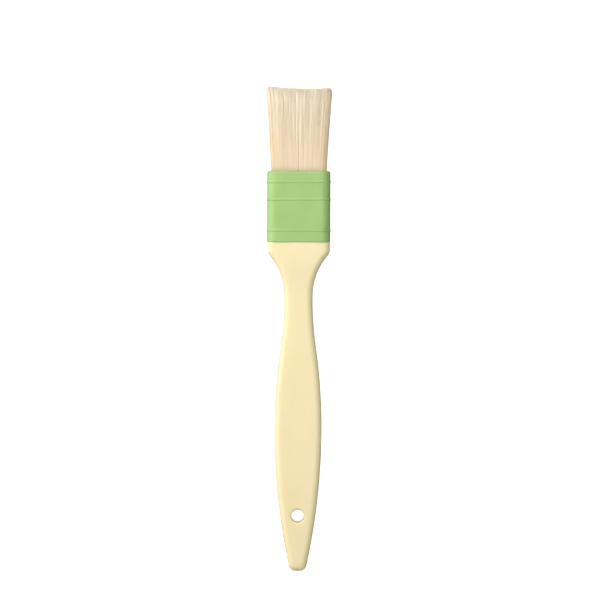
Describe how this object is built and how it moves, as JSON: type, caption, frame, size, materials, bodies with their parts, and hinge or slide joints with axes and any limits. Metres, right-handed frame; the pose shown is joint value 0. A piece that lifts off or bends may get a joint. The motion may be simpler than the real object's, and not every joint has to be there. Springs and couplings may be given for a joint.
{
  "type": "pastry brush",
  "caption": "Flat pastry brush: paddle-shaped plastic handle with a hanging hole, ribbed sleeve ferrule and a straight-cut tuft of pale synthetic bristles that flexes.",
  "frame": {"origin": "middle of the brush's length and width, on the plane under the ferrule's ribs", "axes": "+Y along the brush towards the bristle tips, +X across its width, +Z through its thickness, away from the face it lies on"},
  "size_m": [0.0302, 0.2246, 0.0137],
  "materials": {
    "handle_plastic": "satin",
    "ferrule_plastic": "satin",
    "bristle": "satin",
    "setting_resin": "gloss",
    "strip_plastic": "matte"
  },
  "bodies": {
    "handle_assembly": {"handle": "handle_plastic", "ferrule": "ferrule_plastic", "resin_setting": "setting_resin", "filler_strip": "strip_plastic", "bristle_roots_front": "bristle", "bristle_roots_rear": "bristle"},
    "tuft": {"bristles_front": "bristle", "bristles_rear": "bristle"}
  },
  "joints": [
    {"name": "bristle_flex", "type": "hinge", "parent": "handle_assembly", "child": "tuft", "pos_m": [0, 0.075, 0.00685], "axis": [1, 0, 0], "range_deg": [-30, 30], "stiffness_Nm_per_rad": 0.3}
  ]
}
